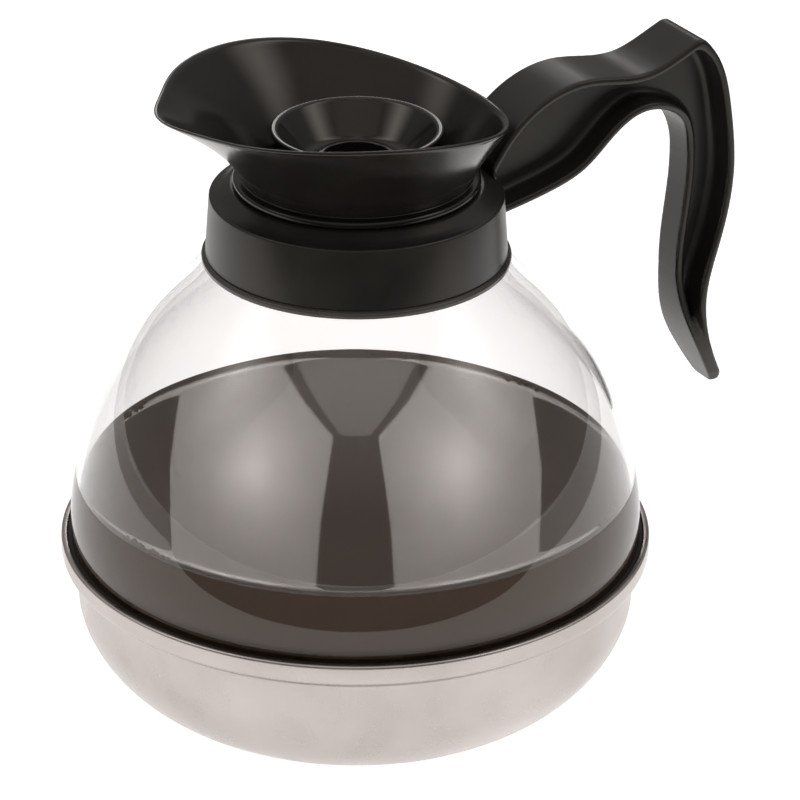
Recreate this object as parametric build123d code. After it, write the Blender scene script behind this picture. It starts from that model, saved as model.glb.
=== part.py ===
from build123d import *
import math
import os

# Coffee decanter: a clear domed bowl crimped into a steel base, with a black handle ring,
# a pouring funnel and a brew-through cup on its neck.
# Millimetres. Z is the axis of the body and the base stands on Z = 0. The handle points
# along +X and the pouring lip along -X, and both sides of the XZ plane are alike.

# Steel base
FLAT_RADIUS = 45.0
PAN_RADIUS = 78.1
PAN_SHOULDER = 29.4
PAN_ROUNDNESS = 1.15
SHEET = 1.0
BAND_RADIUS = 82.5
BAND_BOTTOM = 39.8
BAND_STEP = 2.6
BAND_TOP = 47.9
HEM_RADIUS = 80.7

# Clear bowl
BOWL_WALL = 2.0
BOWL_FOOT = 43.7
BOWL_CURVE = [
    (79.3, 45.3), (79.6, 55.0), (77.1, 70.0), (69.3, 92.5), (56.8, 111.5), (46.2, 123.4), (41.4, 129.8),
]
SHOULDER_HEIGHT = 130.4
NECK_RADIUS = 35.0
NECK_BORE = 33.0
NECK_TOP = 146.5

# Ridges that stand in for the neck thread
RIDGE_DEPTH = 1.0
RIDGE_TIP = 0.5
RIDGE_ROOT = 1.2
RIDGE_PITCH = 4.0
NECK_RIDGE_START = 135.0
COLLAR_RIDGE_START = 137.0
RIDGE_COUNT = 3

# Seals
SEAL_THICKNESS = 1.3
SHOULDER_SEAL_RADIUS = 41.9
NECK_SEAL_THICKNESS = 1.4
RING_SECTION = 1.2
RING_RADIUS = 31.75
RING_HEIGHT = 140.0

# Collar
COLLAR_FOOT_RADIUS = 41.2
COLLAR_TOP_RADIUS = 40.0
COLLAR_BOTTOM = SHOULDER_HEIGHT + SEAL_THICKNESS
COLLAR_EDGE = 148.4
COLLAR_CROWN = 151.5
COLLAR_CROWN_RADIUS = 34.6
COLLAR_BORE = 36.3

# Handle, an I-section
FLANGE_HALF_WIDTH = 10.25
GRIP_HALF_WIDTH = 5.3
FLANGE = 2.3
WEB_HALF = 2.0
HANDLE_TOP_LINE = [
    (36.2, 152.0), (42.6, 160.9), (54.3, 169.4), (66.7, 172.1), (86.1, 170.8), (97.0, 174.9), (103.6, 178.1),
]
HANDLE_BACK_LINE = [
    (103.6, 178.1), (108.6, 172.2), (114.2, 154.8), (116.0, 136.3), (112.6, 115.4), (108.7, 98.0),
    (110.2, 86.3), (116.9, 71.8),
]
HANDLE_TIP = [(116.9, 71.8), (117.0, 68.6), (114.8, 68.0)]
HANDLE_GRIP_LINE = [
    (114.8, 68.0), (108.4, 79.6), (103.4, 91.4), (101.1, 103.4), (101.9, 121.7), (103.2, 142.0),
    (100.2, 152.6), (92.8, 158.0), (86.0, 159.3), (77.6, 155.6), (66.3, 145.8), (56.8, 141.7), (37.0, 137.0),
]
# Half the handle's width down to its tip, and half the grip's width, as (half width, height)
TAIL_SIDE = [(10.25, 96.0), (9.75, 86.0), (7.6, 76.0), (5.2, 69.0), (0, 67.2)]
GRIP_SIDE = [
    (12, 158.0), (8.5, 157.0), (6.1, 152.5), (GRIP_HALF_WIDTH, 147.0),
    (GRIP_HALF_WIDTH, 102.0), (6.3, 95.0), (8.6, 88.5), (12, 86.0),
]
RELIEF_START = 94.0
RELIEF_DEPTH = 12.1
ROOT_RADIUS = 38.5
THROAT_CLEARANCE = 0.6
RECESS_CORNER = (102.9, 175.3)
RECESS_END = (106.7, 88.2)

# How fast the room left for the funnel widens with height
THROAT_SPREAD = 0.695
ABOVE_ALL = 190.0

# Pouring funnel
SPIGOT_RADIUS = 32.2
SPIGOT_BORE = 27.8
SPIGOT_BOTTOM = 134.0
THROAT_RADIUS = 29.3
LEDGE_HEIGHT = 148.0
FLANGE_RADIUS = 33.6
FLANGE_BOTTOM = 151.7
FLANGE_TOP = 153.6
FUNNEL_WALL = 1.9
# Height, side radius and lip reach of each section through the flare
FLARE = [
    (154.2, 31.3, 0.0), (160.0, 34.5, 0.5), (166.0, 38.3, 2.0), (172.0, 42.2, 6.0), (178.0, 46.0, 12.0),
    (184.0, 49.6, 16.5),
]
BEAK_SPREAD = 18.0
CHEEK_SPREAD = 46.0
CHEEK_SHARE = 0.39
RIM_HEIGHT = 177.9
RIM_SLOPE = 0.131
RIM_BEND = 0.00237
SECTION_POINTS = 36

# Brew-through cup
CUP_RIM_RADIUS = 23.3
CUP_RIM_HEIGHT = 167.3
CUP_FLOOR_RADIUS = 15.0
CUP_FLOOR = 157.6
CUP_WALL = 1.8
TUBE_RADIUS = 10.7
TUBE_BORE = 8.9
TUBE_TOP = 158.8
TUBE_BOTTOM = 146.0
FIN_COUNT = 4
FIN_REACH = 29.1
FIN_THICKNESS = 1.8
FIN_TOP = 160.0


def around_axis(outline):
    """Turn a closed outline of radius and height into a solid of revolution."""
    return revolve(Plane.XZ * make_face(outline), Axis.Z)


def closed_ring(points):
    """A ring whose section is the polygon through the points."""
    return around_axis(Polyline(*points, close=True))


def ridges(radius, depth, start):
    """Outline points of a row of ridges, from the lowest up; a negative depth points inwards."""
    points = []
    for index in range(RIDGE_COUNT):
        height = start + index * RIDGE_PITCH
        points.append((radius, height - RIDGE_ROOT))
        points.append((radius + depth, height - RIDGE_TIP))
        points.append((radius + depth, height + RIDGE_TIP))
        points.append((radius, height + RIDGE_ROOT))
    return points


def moved_left(points, gap):
    """The points of a curve moved sideways by the gap, to the left of its direction."""
    moved = []
    for index, (x, z) in enumerate(points):
        before = points[max(index - 1, 0)]
        after = points[min(index + 1, len(points) - 1)]
        dx = after[0] - before[0]
        dz = after[1] - before[1]
        length = math.hypot(dx, dz)
        moved.append((x - gap * dz / length, z + gap * dx / length))
    return moved


def pan_curve(gap):
    """The rounded side of the pan from its flat floor to its shoulder, moved in by the gap."""
    steps = 8
    radius = PAN_RADIUS - gap
    points = []
    for index in range(steps + 1):
        angle = math.pi / 2 * index / steps
        across = math.sin(angle) ** PAN_ROUNDNESS
        down = max(math.cos(angle), 0.0) ** PAN_ROUNDNESS
        height = PAN_SHOULDER - (PAN_SHOULDER - gap) * down
        points.append((FLAT_RADIUS + (radius - FLAT_RADIUS) * across, height))
    return Spline(*points, tangents=[(1, 0), (0, 1)])


def make_base_pan():
    """One steel sheet: flat floor, rounded side, and a rolled band that holds the bowl."""
    step = BAND_BOTTOM + BAND_STEP
    outer_band = FilletPolyline(
        (PAN_RADIUS, PAN_SHOULDER), (PAN_RADIUS, BAND_BOTTOM), (BAND_RADIUS, step),
        (BAND_RADIUS, BAND_TOP), (HEM_RADIUS, BAND_TOP), radius=[1.0, 2.6, 1.6],
    )
    inner_band = FilletPolyline(
        (PAN_RADIUS - SHEET, PAN_SHOULDER), (PAN_RADIUS - SHEET, BAND_BOTTOM + SHEET),
        (BAND_RADIUS - SHEET, step + SHEET), (BAND_RADIUS - SHEET, BAND_TOP - SHEET),
        (HEM_RADIUS, BAND_TOP - SHEET), radius=[1.6, 1.6, 0.6],
    )
    ends = [
        Line((0, 0), (FLAT_RADIUS, 0)),
        Line((HEM_RADIUS, BAND_TOP), (HEM_RADIUS, BAND_TOP - SHEET)),
        Line((FLAT_RADIUS, SHEET), (0, SHEET)),
        Line((0, SHEET), (0, 0)),
    ]
    return around_axis([pan_curve(0), outer_band, inner_band, pan_curve(SHEET)] + ends)


def make_bowl():
    """A domed shell with a foot flange for the crimp and a ridged neck."""
    inside = moved_left(BOWL_CURVE, BOWL_WALL)
    foot_bore = BOWL_CURVE[0][0] - BOWL_WALL
    inside[0] = (foot_bore, BOWL_CURVE[0][1])
    foot = Polyline(
        inside[0], (foot_bore, BOWL_FOOT), (HEM_RADIUS - 0.2, BOWL_FOOT),
        (HEM_RADIUS - 0.2, BOWL_CURVE[0][1]), BOWL_CURVE[0],
    )
    shoulder_inside = SHOULDER_HEIGHT - BOWL_WALL
    neck = Polyline(
        BOWL_CURVE[-1], (BOWL_CURVE[-1][0] - 0.8, SHOULDER_HEIGHT), (NECK_RADIUS, SHOULDER_HEIGHT),
        *ridges(NECK_RADIUS, RIDGE_DEPTH, NECK_RIDGE_START),
        (NECK_RADIUS, NECK_TOP), (NECK_BORE, NECK_TOP), (NECK_BORE, shoulder_inside),
        (inside[-1][0] - 0.6, shoulder_inside), inside[-1],
    )
    return around_axis([foot, Spline(*BOWL_CURVE), neck, Spline(*inside)])


def make_base_gasket(bowl):
    """The black seal that fills the band round the foot of the bowl."""
    clearance = 0.2
    inner = PAN_RADIUS - SHEET + clearance
    outer = BAND_RADIUS - SHEET - clearance
    lip = HEM_RADIUS - clearance / 2
    top = BAND_TOP - SHEET / 2
    blank = closed_ring([
        (inner, BAND_BOTTOM + 1.6), (outer, BAND_BOTTOM + 4.0), (outer, BAND_TOP - SHEET - 0.8),
        (lip, BAND_TOP - SHEET - clearance), (lip, top), (BOWL_CURVE[0][0] - 0.3, top), (inner, BOWL_FOOT + 1.0),
    ])
    return max((blank - bowl).solids(), key=lambda solid: solid.volume)


def make_shoulder_seal():
    """The soft ring between the collar and the shoulder of the bowl, proud of the collar."""
    middle = SHOULDER_HEIGHT + SEAL_THICKNESS / 2
    half = SEAL_THICKNESS / 2
    corner = SHOULDER_SEAL_RADIUS - half
    inner = NECK_RADIUS + 1.5
    top = Line((corner, middle + half), (inner, middle + half))
    bore = Line((inner, middle + half), (inner, middle - half))
    bottom = Line((inner, middle - half), (corner, middle - half))
    edge = ThreePointArc((corner, middle - half), (SHOULDER_SEAL_RADIUS, middle), (corner, middle + half))
    return around_axis([top, bore, bottom, edge])


def make_neck_seal():
    """The flat washer on top of the neck, under the crown of the collar."""
    inner = NECK_BORE + 0.1
    outer = NECK_RADIUS + 0.9
    top = NECK_TOP + NECK_SEAL_THICKNESS
    return closed_ring([(inner, NECK_TOP), (outer, NECK_TOP), (outer, top), (inner, top)])


def make_collar():
    """The ring that screws over the neck: a tapered wall and a dished crown."""
    seat = NECK_TOP + NECK_SEAL_THICKNESS
    wall = Polyline(
        (NECK_BORE, COLLAR_CROWN), (NECK_BORE, seat), (COLLAR_BORE, seat),
        *reversed(ridges(COLLAR_BORE, -RIDGE_DEPTH, COLLAR_RIDGE_START)),
        (COLLAR_BORE, COLLAR_BOTTOM), (COLLAR_FOOT_RADIUS, COLLAR_BOTTOM), (COLLAR_TOP_RADIUS, COLLAR_EDGE),
    )
    dish = ThreePointArc(
        (COLLAR_TOP_RADIUS, COLLAR_EDGE), (37.4, COLLAR_EDGE + 1.1), (COLLAR_CROWN_RADIUS, COLLAR_CROWN),
    )
    crown = Line((COLLAR_CROWN_RADIUS, COLLAR_CROWN), (NECK_BORE, COLLAR_CROWN))
    return around_axis([wall, dish, crown])


def handle_outline():
    """The side view of the handle, from its root round the back and tip to its root."""
    root = Line(HANDLE_GRIP_LINE[-1], HANDLE_TOP_LINE[0])
    return make_face([
        Spline(*HANDLE_TOP_LINE), Spline(*HANDLE_BACK_LINE), ThreePointArc(*HANDLE_TIP),
        Spline(*HANDLE_GRIP_LINE), root,
    ])


def recess_outline():
    """The side view of the recess in each side of the handle, one flange inside its outline."""
    top = moved_left(HANDLE_TOP_LINE, -FLANGE)[:-1] + [RECESS_CORNER]
    back = [RECESS_CORNER] + moved_left(HANDLE_BACK_LINE, -FLANGE)[1:-2] + [RECESS_END]
    grip = [RECESS_END] + moved_left(HANDLE_GRIP_LINE, -FLANGE)[2:]
    return make_face([Spline(*top), Spline(*back), Spline(*grip), Line(grip[-1], top[0])])


def across(face, low, high):
    """Push a face drawn in the XZ plane from one value of Y to another."""
    return Pos(0, low, 0) * extrude(Plane.XZ * face, amount=high - low, dir=(0, 1, 0))


def tail_envelope():
    """The front view of the handle: parallel sides that round in to a narrow tip."""
    half, start = TAIL_SIDE[0]
    side = Spline(*TAIL_SIDE)
    sides = Polyline((half, start), (half, ABOVE_ALL), (-half, ABOVE_ALL), (-half, start))
    face = Plane.YZ * make_face([side, mirror(side, Plane.YZ), sides])
    return Pos(30, 0, 0) * extrude(face, amount=100, dir=(1, 0, 0))


def grip_relief(side):
    """What is taken off one side of the inner flange along the grip."""
    face = make_face(Polyline(*GRIP_SIDE, close=True))
    if side < 0:
        face = mirror(face, Plane.YZ)
    return Pos(RELIEF_START, 0, 0) * extrude(Plane.YZ * face, amount=RELIEF_DEPTH, dir=(1, 0, 0))


def make_handle_ring():
    """The handle and the collar, one moulding."""
    recess = recess_outline()
    handle = across(handle_outline(), -FLANGE_HALF_WIDTH, FLANGE_HALF_WIDTH)
    handle -= across(recess, WEB_HALF, FLANGE_HALF_WIDTH + 1)
    handle -= across(recess, -FLANGE_HALF_WIDTH - 1, -WEB_HALF)
    handle &= tail_envelope()
    for side in (-1, 1):
        handle -= grip_relief(side)
    start = FLANGE_RADIUS + THROAT_CLEARANCE
    room = closed_ring([
        (0, 0), (ROOT_RADIUS, 0), (ROOT_RADIUS, COLLAR_CROWN), (start, COLLAR_CROWN),
        (start + THROAT_SPREAD * (ABOVE_ALL - COLLAR_CROWN), ABOVE_ALL), (0, ABOVE_ALL),
    ])
    handle -= room
    return make_collar() + handle


def lip_shape(angle):
    """How far the pouring lip reaches at an angle from its middle, from 0 to 1."""
    degrees = abs((angle + 180.0) % 360.0 - 180.0)
    beak = (1 - CHEEK_SHARE) * math.exp(-((degrees / BEAK_SPREAD) ** 2))
    cheek = CHEEK_SHARE * math.exp(-((degrees / CHEEK_SPREAD) ** 2))
    return beak + cheek


def flare_section(height, radius, reach):
    """A level section through the flare: a circle drawn out into the lip."""
    points = []
    for index in range(SECTION_POINTS):
        angle = 360.0 * index / SECTION_POINTS
        distance = radius + reach * lip_shape(angle)
        points.append((-distance * math.cos(math.radians(angle)), distance * math.sin(math.radians(angle))))
    return Pos(0, 0, height) * make_face(Spline(*points, periodic=True))


def flare_solid(gap):
    """The flare as a solid body, smaller all round by the gap."""
    return loft([flare_section(height, radius - gap, reach) for height, radius, reach in FLARE])


def above_rim():
    """Everything above the saddle-shaped rim of the funnel."""
    left = -75.0
    right = 60.0
    points = []
    for index in range(7):
        x = left + (right - left) * index / 6
        points.append((x, RIM_HEIGHT - RIM_SLOPE * x - RIM_BEND * x * x))
    saddle = Spline(*points)
    lid = Polyline(points[-1], (right, 200.0), (left, 200.0), points[0])
    return across(make_face([saddle, lid]), -70, 70)


def make_funnel():
    """The pouring funnel: a flared mouth with a lip, a flange and a spigot with a ring groove."""
    groove = RING_SECTION + 0.3
    start_height, start_radius, _ = FLARE[0]
    spigot = closed_ring([
        (SPIGOT_BORE, SPIGOT_BOTTOM), (SPIGOT_RADIUS, SPIGOT_BOTTOM), (SPIGOT_RADIUS, RING_HEIGHT - groove),
        (RING_RADIUS - RING_SECTION - 0.05, RING_HEIGHT - groove),
        (RING_RADIUS - RING_SECTION - 0.05, RING_HEIGHT + groove), (SPIGOT_RADIUS, RING_HEIGHT + groove),
        (SPIGOT_RADIUS, FLANGE_BOTTOM), (FLANGE_RADIUS - 0.4, FLANGE_BOTTOM), (FLANGE_RADIUS, FLANGE_BOTTOM + 0.5),
        (FLANGE_RADIUS, FLANGE_TOP - 0.9), (FLANGE_RADIUS - 0.8, FLANGE_TOP), (start_radius - 0.6, start_height),
        (THROAT_RADIUS, start_height), (THROAT_RADIUS, LEDGE_HEIGHT), (SPIGOT_BORE, LEDGE_HEIGHT),
    ])
    flare = flare_solid(0) - flare_solid(FUNNEL_WALL) - above_rim()
    return spigot + flare


def make_funnel_ring():
    """The O-ring in the groove of the spigot."""
    return Pos(0, 0, RING_HEIGHT) * Torus(RING_RADIUS, RING_SECTION)


def make_brew_cup():
    """The brew-through cup: a dish with a drip tube, held in the throat by its fins."""
    floor = CUP_FLOOR - CUP_WALL
    dish = closed_ring([
        (TUBE_BORE, TUBE_BOTTOM), (TUBE_BORE + 1.4, TUBE_BOTTOM), (TUBE_RADIUS + 0.3, floor),
        (CUP_FLOOR_RADIUS + 0.4, floor), (CUP_FLOOR_RADIUS + 1.9, floor + 1.6),
        (CUP_RIM_RADIUS - 0.3, CUP_RIM_HEIGHT - 1.4), (CUP_RIM_RADIUS, CUP_RIM_HEIGHT - 0.7),
        (CUP_RIM_RADIUS - 0.6, CUP_RIM_HEIGHT), (CUP_RIM_RADIUS - 1.3, CUP_RIM_HEIGHT),
        (CUP_RIM_RADIUS - CUP_WALL - 0.2, CUP_RIM_HEIGHT - 0.8), (CUP_FLOOR_RADIUS + 0.2, CUP_FLOOR + 1.4),
        (CUP_FLOOR_RADIUS - 1.2, CUP_FLOOR), (TUBE_RADIUS, CUP_FLOOR), (TUBE_RADIUS, TUBE_TOP - 0.4),
        (TUBE_RADIUS - 0.4, TUBE_TOP), (TUBE_BORE, TUBE_TOP),
    ])
    fin_outline = Polyline(
        (CUP_FLOOR_RADIUS - 2, floor + 0.4), (CUP_FLOOR_RADIUS + 2, LEDGE_HEIGHT), (FIN_REACH, LEDGE_HEIGHT),
        (FIN_REACH, 153.5), (CUP_FLOOR_RADIUS + 4.5, FIN_TOP), (CUP_FLOOR_RADIUS + 2.4, floor + 3), close=True,
    )
    fin = across(make_face(fin_outline), -FIN_THICKNESS / 2, FIN_THICKNESS / 2)
    cup = dish
    for index in range(FIN_COUNT):
        cup += Rot(0, 0, 45 + index * 360 / FIN_COUNT) * fin
    return cup


os.makedirs("parts", exist_ok=True)
clear_bowl = make_bowl()
pieces = {
    "base_pan": make_base_pan(),
    "base_gasket": make_base_gasket(clear_bowl),
    "bowl": clear_bowl,
    "shoulder_seal": make_shoulder_seal(),
    "neck_seal": make_neck_seal(),
    "handle_ring": make_handle_ring(),
    "funnel": make_funnel(),
    "funnel_ring": make_funnel_ring(),
    "brew_cup": make_brew_cup(),
}
for name, piece in pieces.items():
    export_step(piece, f"parts/{name}.step")
    print(name, len(piece.solids()), round(piece.volume))
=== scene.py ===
"""A coffee decanter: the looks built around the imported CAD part.

Blender is in metres and in the CAD's frame: Z up from the base, the handle along +X, the pouring lip
along -X. Outlines are written in millimetres and scaled once, where a mesh is made.
"""

import math
import random

import bpy
import numpy as np
from mathutils import Matrix, Vector


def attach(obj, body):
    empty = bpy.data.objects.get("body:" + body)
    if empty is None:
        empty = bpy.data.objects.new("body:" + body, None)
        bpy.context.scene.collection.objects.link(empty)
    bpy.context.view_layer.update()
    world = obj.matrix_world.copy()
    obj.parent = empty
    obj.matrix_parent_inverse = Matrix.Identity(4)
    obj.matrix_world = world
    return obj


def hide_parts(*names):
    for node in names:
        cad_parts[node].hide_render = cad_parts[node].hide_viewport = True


MM = 0.001
TURN_STEPS = 256

# Camera, metres and radians: the side it looks from, its place, and how far it dips, turns and rolls
VIEW_TURN = math.radians(28.5)
CAMERA_DISTANCE = 0.99531
CAMERA_HEIGHT = 0.56496
CAMERA_PITCH = 0.448365
CAMERA_YAW = 0.0122413
CAMERA_ROLL = 0.0091203
CAMERA_LENS = 179.5

# Room and floor, metres
ROOM_LIGHT = 0.20
CEILING_LIGHT = 0.75
FLOOR_GLOW = 0.75
LAMP_COLOUR = (1.0, 0.975, 0.955, 1)
FLOOR_REACH = 4.0
SQUARE = [(-1, -1), (1, -1), (1, 1), (-1, 1)]
# The lit table as the reflections show it: left, right, near and far sides as seen from the camera
TABLE = (-0.85, 0.60, -0.23, 0.9)

# Steel base
FLAT_RADIUS = 45.0
PAN_RADIUS = 78.1
PAN_SHOULDER = 29.4
PAN_ROUNDNESS = 1.15
SHEET = 1.0
BAND_RADIUS = 82.5
BAND_BOTTOM = 39.8
BAND_STEP = 2.6
BAND_TOP = 47.9
HEM_RADIUS = 80.7

# Clear bowl
BOWL_WALL = 2.0
BOWL_FOOT = 43.7
BOWL_CURVE = [
    (79.3, 45.3), (79.6, 55.0), (77.1, 70.0), (69.3, 92.5), (56.8, 111.5), (46.2, 123.4), (41.4, 129.8),
]
BOWL_CURVE_STEPS = 14
# Height of the straight wall inside the foot
FOOT_WALL = 4.0
SHOULDER_HEIGHT = 130.4
NECK_RADIUS = 35.0
NECK_BORE = 33.0
NECK_TOP = 146.5
THREAD_PITCH = 4.0
THREAD_COUNT = 3
NECK_THREAD_DEPTH = 1.0
NECK_THREAD_START = 135.6

# Coffee
FILL_GAP = 0.1
COFFEE_LEVEL = 65.2
MENISCUS = 0.5
MENISCUS_WIDTH = 7.0
BUBBLE_COUNT = 90
BUBBLE_GROUP = 9
BUBBLE_RING = 75.4
BUBBLE_SEED = 7

# Collar
COLLAR_FOOT_RADIUS = 41.2
COLLAR_TOP_RADIUS = 40.0
COLLAR_BOTTOM = 131.7
COLLAR_EDGE = 148.4
COLLAR_CROWN = 151.5
COLLAR_CROWN_RADIUS = 34.6
COLLAR_BORE = 36.3
COLLAR_TAPER = 0.072
COLLAR_THREAD_DEPTH = 0.9
COLLAR_THREAD_START = 137.6
NECK_SEAL_THICKNESS = 1.4
# Radius and height across the dished crown, and how far each corner is rounded
CROWN_DISH = [
    (COLLAR_CROWN_RADIUS, COLLAR_CROWN), (37.4, 149.5), (38.9, 148.75), (COLLAR_TOP_RADIUS, COLLAR_EDGE),
]
CROWN_ROUNDING = [0.5, 1.0, 0.8, 0.9]

# Soft ring under the collar
BEAD_RADIUS = 42.3
BEAD_BOTTOM = 129.6

# Handle
FLANGE_HALF_WIDTH = 10.25
GRIP_HALF_WIDTH = 5.3
FLANGE = 2.3
WEB_HALF = 2.0
HANDLE_TOP_LINE = [
    (36.2, 152.0), (42.6, 160.9), (54.3, 169.4), (66.7, 172.1), (86.1, 170.8), (97.0, 174.9),
    (103.6, 178.1),
]
HANDLE_BACK_LINE = [
    (103.6, 178.1), (108.6, 172.2), (114.2, 154.8), (116.0, 136.3), (112.6, 115.4), (108.7, 98.0),
    (110.2, 86.3), (116.9, 71.8),
]
HANDLE_TIP_LINE = [(116.9, 71.8), (117.2, 69.9), (116.5, 68.4), (114.8, 68.0)]
HANDLE_GRIP_LINE = [
    (114.8, 68.0), (108.4, 79.6), (103.4, 91.4), (101.1, 103.4), (101.9, 121.7), (103.2, 142.0),
    (100.2, 152.6), (92.8, 158.0), (86.0, 159.3), (77.6, 155.6), (66.3, 145.8), (56.8, 141.7),
    (37.0, 137.0),
]
# The recess in the side: its upper corner, the tip of its foot and the height where the foot starts
RECESS_CORNER = (103.0, 175.2)
RECESS_END = (105.9, 87.0)
RECESS_FOOT = 95.0
# Half the width of the tail at each height
TAIL_WIDTHS = np.array([
    (0.6, 67.2), (3.0, 67.6), (5.2, 69.0), (6.5, 72.0), (7.6, 76.0), (8.9, 81.0), (9.75, 86.0),
    (10.15, 91.0), (FLANGE_HALF_WIDTH, 96.0),
])
# Heights between which the grip narrows, and where it widens again round the arch to the arm
GRIP_NARROWS = (74.0, 107.0)
ARCH_START = (103.2, 142.0)
ARCH_END = (84.0, 159.0)
THUMB_ROUNDING = 2.6
EDGE_ROUNDING = 0.85
POCKET_ROUNDING = 2.0
ROOT_FILLET = 2.2
ROOT_GAP = 1.6
ROOT_LIFT = 0.8
ROOT_INSET = 0.2
ROOT_HALF_WIDTH = 15.2
# The cone round the funnel that the handle keeps out of: its gap, spread and the sine of its side
FUNNEL_GAP = 0.9
FUNNEL_SPREAD = 0.70
FUNNEL_SLANT = 0.82
# The block of space that the handle's field fills, and its step
HANDLE_LOW = np.array((33.0, -16.0, 65.6))
HANDLE_HIGH = np.array((119.0, 16.0, 180.4))
HANDLE_GRID = 0.4

# Pouring funnel
SPIGOT_RADIUS = 32.2
SPIGOT_BORE = 27.8
SPIGOT_BOTTOM = 134.0
GROOVE_RADIUS = 30.5
GROOVE = (138.5, 141.5)
THROAT_RADIUS = 29.3
LEDGE_HEIGHT = 148.0
FLANGE_RADIUS = 33.6
FLANGE_BOTTOM = 151.7
FLANGE_TOP = 153.5
FLARE_FOOT = 154.2
FUNNEL_WALL = 1.9
# Height, side radius and lip reach up the flare
FLARE = [
    (154.2, 31.3, 0.0), (160.0, 34.5, 0.5), (166.0, 38.3, 2.0), (172.0, 42.2, 6.0), (178.0, 46.0, 12.0),
    (184.0, 49.6, 16.5),
]
FLARE_MIDDLE = (FLARE[0][0] + FLARE[-1][0]) / 2
FLARE_LEVELS = 28
# The lip: a narrow beak and broad cheeks, spreads in degrees and shares of the reach
BEAK_SPREAD = 13.3
BEAK_SHARE = 0.34
BEAK_TURN = math.radians(5.2)
BEAK_LIFT = 0.8
CHEEK_SPREAD = 54.0
CHEEK_SHARE = 0.58
# The rim's saddle: height at the axis, fall toward the handle and bend
RIM_HEIGHT = 177.9
RIM_SLOPE = 0.131
RIM_BEND = 0.00237
RIM_ROUNDING = 0.9

# Brew-through cup
CUP_RIM_RADIUS = 23.3
CUP_RIM_HEIGHT = 167.3
CUP_FLOOR_RADIUS = 15.0
CUP_FLOOR = 157.6
CUP_WALL = 1.8
TUBE_RADIUS = 10.7
TUBE_BORE = 8.9
TUBE_TOP = 159.6
TUBE_BOTTOM = 146.0
FIN_COUNT = 4
FIN_REACH = 29.1
FIN_THICKNESS = 1.8
FIN_SHOULDER = 153.5
FIN_TOP = 160.0
FIN_TURN = math.radians(45)

# Soft light: panels as (right, up) corners, placed as seen from the camera, metres
BANK_PLACE = (0.8, -0.1, 1.05)
BANK_CORNERS = [(-0.45, -0.8), (0.45, -0.8), (0.45, 0.8), (-0.45, 0.8)]
BANK_TARGET = (0, 0, 0.1)
BOX_PLACE = (0.08, 1.35, 0.743)
BOX_CORNERS = [
    (-0.014, -0.12), (0.063, -0.025), (0.040, 0.14), (-0.08, 0.14), (-0.075, 0.0), (-0.055, -0.12),
]
WEDGE_PLACE = (0, 1.352, 0.718)
WEDGE_CORNERS = [(-0.083, -0.10), (0.083, -0.10), (0.011, 0.0), (-0.011, 0.0)]
CARD_HEIGHT = 0.002


# ---------------------------------------------------------------- lines and meshes


def spline(points, steps=12):
    """A natural cubic curve through the points, steps pieces for each gap between them."""
    points = np.array(points, float)
    gaps = np.linalg.norm(np.diff(points, axis=0), axis=1)
    places = np.concatenate([[0], np.cumsum(gaps)])
    count = len(points)
    matrix = np.eye(count)
    right = np.zeros_like(points)
    for i in range(1, count - 1):
        matrix[i, i - 1: i + 2] = (gaps[i - 1], 2 * (gaps[i - 1] + gaps[i]), gaps[i])
        ahead = (points[i + 1] - points[i]) / gaps[i]
        behind = (points[i] - points[i - 1]) / gaps[i - 1]
        right[i] = 6 * (ahead - behind)
    bends = np.linalg.solve(matrix, right)
    line = []
    for i in range(count - 1):
        for j in range(steps):
            t = gaps[i] * j / steps
            rest = gaps[i] - t
            value = (bends[i] * rest**3 + bends[i + 1] * t**3) / (6 * gaps[i])
            value += (points[i] / gaps[i] - bends[i] * gaps[i] / 6) * rest
            value += (points[i + 1] / gaps[i] - bends[i + 1] * gaps[i] / 6) * t
            line.append(value)
    line.append(points[-1])
    return np.array(line)


def beside(line, gap):
    """The line moved to its left by the gap."""
    line = np.array(line, float)
    along = np.gradient(line, axis=0)
    along /= np.linalg.norm(along, axis=1)[:, None]
    return line + gap * np.column_stack([-along[:, 1], along[:, 0]])


def rounded(corners, steps=6):
    """A closed outline whose corners (x, y, radius) are rounded off."""
    line = []
    count = len(corners)
    for i, (x, y, radius) in enumerate(corners):
        corner = np.array((x, y), float)
        if radius <= 0:
            line.append(corner)
            continue
        before = np.array(corners[i - 1][:2], float) - corner
        after = np.array(corners[(i + 1) % count][:2], float) - corner
        before_length = np.linalg.norm(before)
        after_length = np.linalg.norm(after)
        cut = min(radius, 0.48 * before_length, 0.48 * after_length)
        start = corner + before / before_length * cut
        end = corner + after / after_length * cut
        for j in range(steps + 1):
            t = j / steps
            line.append((1 - t) ** 2 * start + 2 * t * (1 - t) * corner + t**2 * end)
    return np.array(line)


def make_object(name, points, faces, material, sharp=35.0):
    """A smooth-shaded mesh object from points in millimetres."""
    corners = [tuple(p) for p in np.asarray(points) * MM]
    mesh = bpy.data.meshes.new(name)
    mesh.from_pydata(corners, [], [tuple(int(i) for i in face) for face in faces])
    mesh.validate()
    mesh.shade_smooth()
    mesh.set_sharp_from_angle(angle=math.radians(sharp))
    mesh.materials.append(material)
    piece = bpy.data.objects.new(name, mesh)
    bpy.context.scene.collection.objects.link(piece)
    return piece


def turned(outline, steps=TURN_STEPS):
    """Points and faces of a closed (radius, height) outline turned about Z."""
    outline = np.asarray(outline, float)
    count = len(outline)
    points = []
    for i in range(steps):
        angle = 2 * math.pi * i / steps
        cos, sin = math.cos(angle), math.sin(angle)
        points.extend((r * cos, r * sin, z) for r, z in outline)
    faces = []
    for i in range(steps):
        ahead = (i + 1) % steps
        for j in range(count):
            up = (j + 1) % count
            faces.append((i * count + j, ahead * count + j, ahead * count + up, i * count + up))
    return np.array(points), faces


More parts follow.
